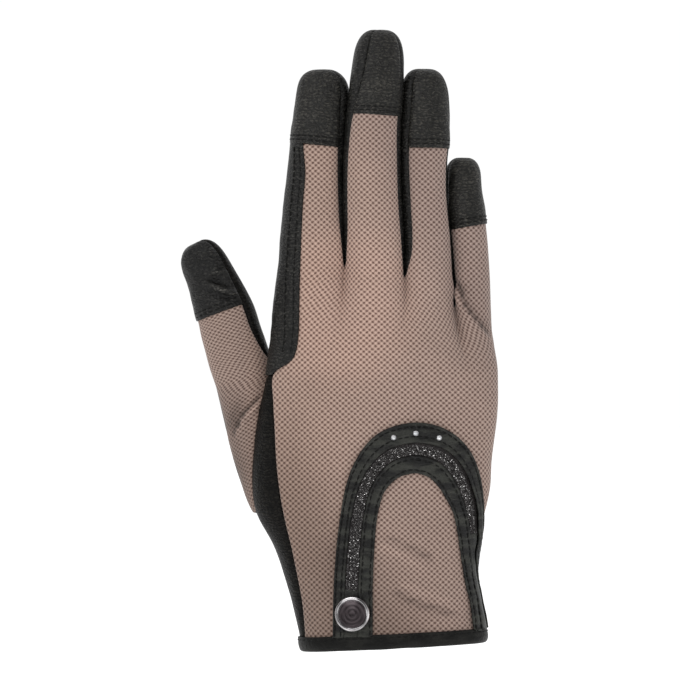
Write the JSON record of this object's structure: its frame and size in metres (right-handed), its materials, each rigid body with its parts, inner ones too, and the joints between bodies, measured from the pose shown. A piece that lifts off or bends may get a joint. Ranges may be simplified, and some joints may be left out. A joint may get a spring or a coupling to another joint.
{
  "type": "riding glove",
  "caption": "Right-hand riding glove with a knitted back, leather palm and fingertips, a glitter horseshoe trim with stones and a snap, shown filled as on a hand.",
  "frame": {"origin": "middle of the wrist opening, at the hem, midway between back and palm", "axes": "+Z from the wrist to the fingertips, the back of the hand faces -Y, the thumb is on -X"},
  "size_m": [0.1143, 0.0399, 0.2248],
  "materials": {
    "knit": "taupe open knit mesh, matt",
    "leather": "charcoal black synthetic leather with a fine ribbed grain, low sheen",
    "glitter": "dark fabric with bright glitter specks",
    "stone": "clear faceted stones in small silver cups",
    "snap": "polished rim round a brushed disc"
  },
  "bodies": {
    "root": {"back_panel": "knit", "palm_panel": "leather", "index_side_strip": "leather", "index_middle_side": "leather", "middle_ring_side": "leather", "ring_little_side": "leather", "index_cap": "leather", "middle_cap": "leather", "ring_cap": "leather", "little_cap": "leather", "thumb_back": "knit", "thumb_palm": "leather", "thumb_cap": "leather", "hem_binding": "leather", "horseshoe_trim": "leather", "glitter_inlay": "glitter", "stone_thumb_side": "stone", "stone_middle": "stone", "stone_little_side": "stone", "snap_cap": "snap"}
  },
  "joints": []
}
